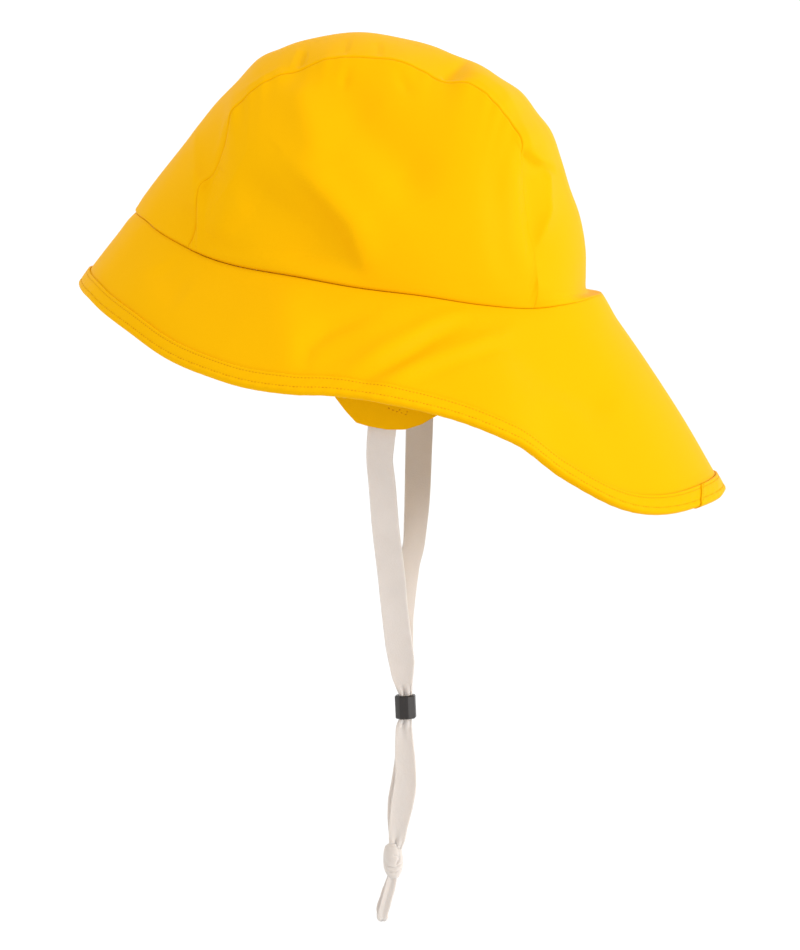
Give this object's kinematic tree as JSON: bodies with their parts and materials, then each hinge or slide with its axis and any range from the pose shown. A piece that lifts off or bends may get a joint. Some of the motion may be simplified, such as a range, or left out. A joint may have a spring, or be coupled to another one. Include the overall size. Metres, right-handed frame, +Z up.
{
  "type": "sou wester hat with chin tape",
  "caption": "Sou'wester rain hat: sewn crown, sloping brim that is longer behind, ear flaps inside, chin tape with a sliding bead.",
  "frame": {"origin": "middle of the head opening, in the plane of the crown-brim seam, where the head sits", "axes": "+Z up towards the crown; the wearer faces -Y, so the long brim points to +Y; +X is the wearer's left"},
  "size_m": [0.2579, 0.3022, 0.4152],
  "materials": {
    "yellow_cloth": "coated cloth with a fine weave under a satin film",
    "yellow_binding": "folded strip of the coated cloth, sewn with two rows",
    "yellow_flap": "coated cloth, inner side",
    "cream_tape": "soft woven cotton tape",
    "dark_bead": "moulded, slightly glossy, faceted"
  },
  "bodies": {
    "root": {"crown_centre_panel": "yellow_cloth", "crown_side_left": "yellow_cloth", "crown_side_right": "yellow_cloth", "brim": "yellow_cloth", "edge_binding": "yellow_binding", "ear_flap_left": "yellow_flap", "ear_flap_right": "yellow_flap", "chin_tape": "cream_tape", "slide_bead": "dark_bead"}
  },
  "joints": []
}
